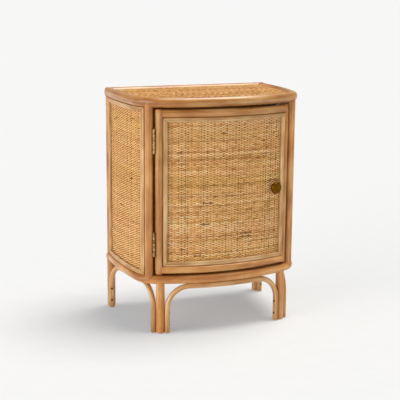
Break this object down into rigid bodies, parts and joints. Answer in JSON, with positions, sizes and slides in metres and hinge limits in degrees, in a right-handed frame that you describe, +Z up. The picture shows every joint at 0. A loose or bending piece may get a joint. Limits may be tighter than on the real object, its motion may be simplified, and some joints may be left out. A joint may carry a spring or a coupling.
{
  "type": "bedside cabinet",
  "caption": "Bow-fronted bedside cabinet of bent rattan poles with woven panels, a hinged door with a round knob, and arched braces between its legs.",
  "frame": {"origin": "on the floor, under the middle of the bounding box", "axes": "+Z up, -Y out of the front (the door's side), +X to the right when facing the door"},
  "size_m": [0.4666, 0.3149, 0.6],
  "materials": {
    "rattan_pole": "satin bent rattan pole, tan",
    "rattan_arch": "satin thin rattan pole, paler tan",
    "rattan_moulding": "matt split-rattan strip, pale",
    "woven_rattan": "matt woven rattan core and skin",
    "plywood": "matt plywood",
    "dowel_wood": "plain beech dowel",
    "hinge_brass": "satin brass",
    "knob_bronze": "dark satin bronzed metal",
    "screw_steel": "plain steel",
    "catch_plastic": "matt brown plastic",
    "magnet_iron": "plain magnet"
  },
  "bodies": {
    "cabinet": {"arch_screws": "screw_steel", "back_panel": "plywood", "bottom_back_rail": "rattan_pole", "bottom_board": "plywood", "bottom_ring": "rattan_pole", "catch_block": "catch_plastic", "catch_magnet": "magnet_iron", "catch_screws": "screw_steel", "frame_hinge_screws": "hinge_brass", "front_arch": "rattan_arch", "left_arch": "rattan_arch", "left_back_leg": "rattan_pole", "left_back_post": "rattan_pole", "left_front_leg": "rattan_pole", "left_front_post": "rattan_pole", "left_side_back_moulding": "rattan_moulding", "left_side_bottom_moulding": "rattan_moulding", "left_side_front_moulding": "rattan_moulding", "left_side_top_moulding": "rattan_moulding", "left_side_weave": "woven_rattan", "leg_dowels": "dowel_wood", "lower_hinge_frame_leaf": "hinge_brass", "lower_hinge_pin": "hinge_brass", "post_dowels": "dowel_wood", "right_arch": "rattan_arch", "right_back_leg": "rattan_pole", "right_back_post": "rattan_pole", "right_front_leg": "rattan_pole", "right_front_post": "rattan_pole", "right_side_back_moulding": "rattan_moulding", "right_side_bottom_moulding": "rattan_moulding", "right_side_front_moulding": "rattan_moulding", "right_side_top_moulding": "rattan_moulding", "right_side_weave": "woven_rattan", "ring_dowels": "dowel_wood", "top_back_rail": "rattan_pole", "top_board": "plywood", "top_ring": "rattan_pole", "top_weave": "woven_rattan", "upper_hinge_frame_leaf": "hinge_brass", "upper_hinge_pin": "hinge_brass"},
    "door": {"catch_strike": "screw_steel", "door_bottom_moulding": "rattan_moulding", "door_bottom_rail": "rattan_pole", "door_hinge_screws": "hinge_brass", "door_left_moulding": "rattan_moulding", "door_left_stile": "rattan_pole", "door_rail_dowels": "dowel_wood", "door_right_moulding": "rattan_moulding", "door_right_stile": "rattan_pole", "door_top_moulding": "rattan_moulding", "door_top_rail": "rattan_pole", "door_weave": "woven_rattan", "knob": "knob_bronze", "knob_screw": "screw_steel", "knob_washer": "screw_steel", "lower_hinge_door_leaf": "hinge_brass", "strike_screw": "screw_steel", "upper_hinge_door_leaf": "hinge_brass"}
  },
  "joints": [
    {"name": "door_swing", "type": "hinge", "parent": "cabinet", "child": "door", "pos_m": [-0.18385, -0.11594, 0.363], "axis": [0, 0, -1], "range_deg": [0, 110]}
  ]
}
